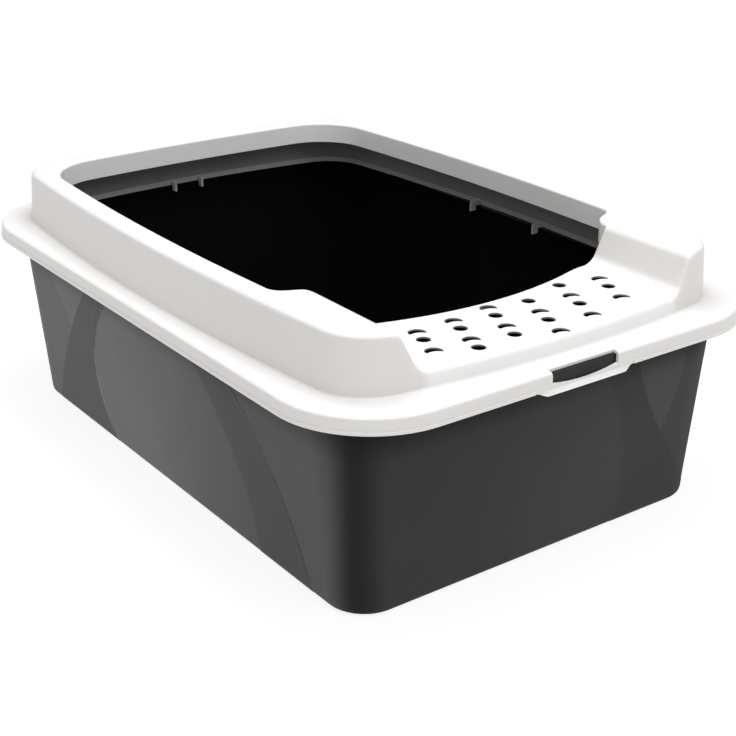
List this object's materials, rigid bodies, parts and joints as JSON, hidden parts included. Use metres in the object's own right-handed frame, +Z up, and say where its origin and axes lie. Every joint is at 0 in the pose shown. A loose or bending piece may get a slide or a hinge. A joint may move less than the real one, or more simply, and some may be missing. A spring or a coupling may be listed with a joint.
{
  "type": "litter box",
  "caption": "Open cat litter tray with a lift-off raised rim and a lowered, perforated entry step at one end.",
  "frame": {"origin": "centre of the base, on the surface that the tray stands on", "axes": "+Z up, +Y along the length away from the entry step, which is at the -Y end, +X to the right seen from the step"},
  "size_m": [0.3956, 0.5686, 0.204],
  "materials": {
    "tray_plastic": "fine satin charcoal plastic with low relief arcs",
    "rim_plastic": "smooth satin warm-white plastic"
  },
  "bodies": {
    "tray": {"tray": "tray_plastic"},
    "rim": {"rim": "rim_plastic"}
  },
  "joints": [
    {"name": "rim_lift", "type": "slide", "parent": "tray", "child": "rim", "axis": [0, 0, 1], "range_m": [0, 0.25]}
  ]
}
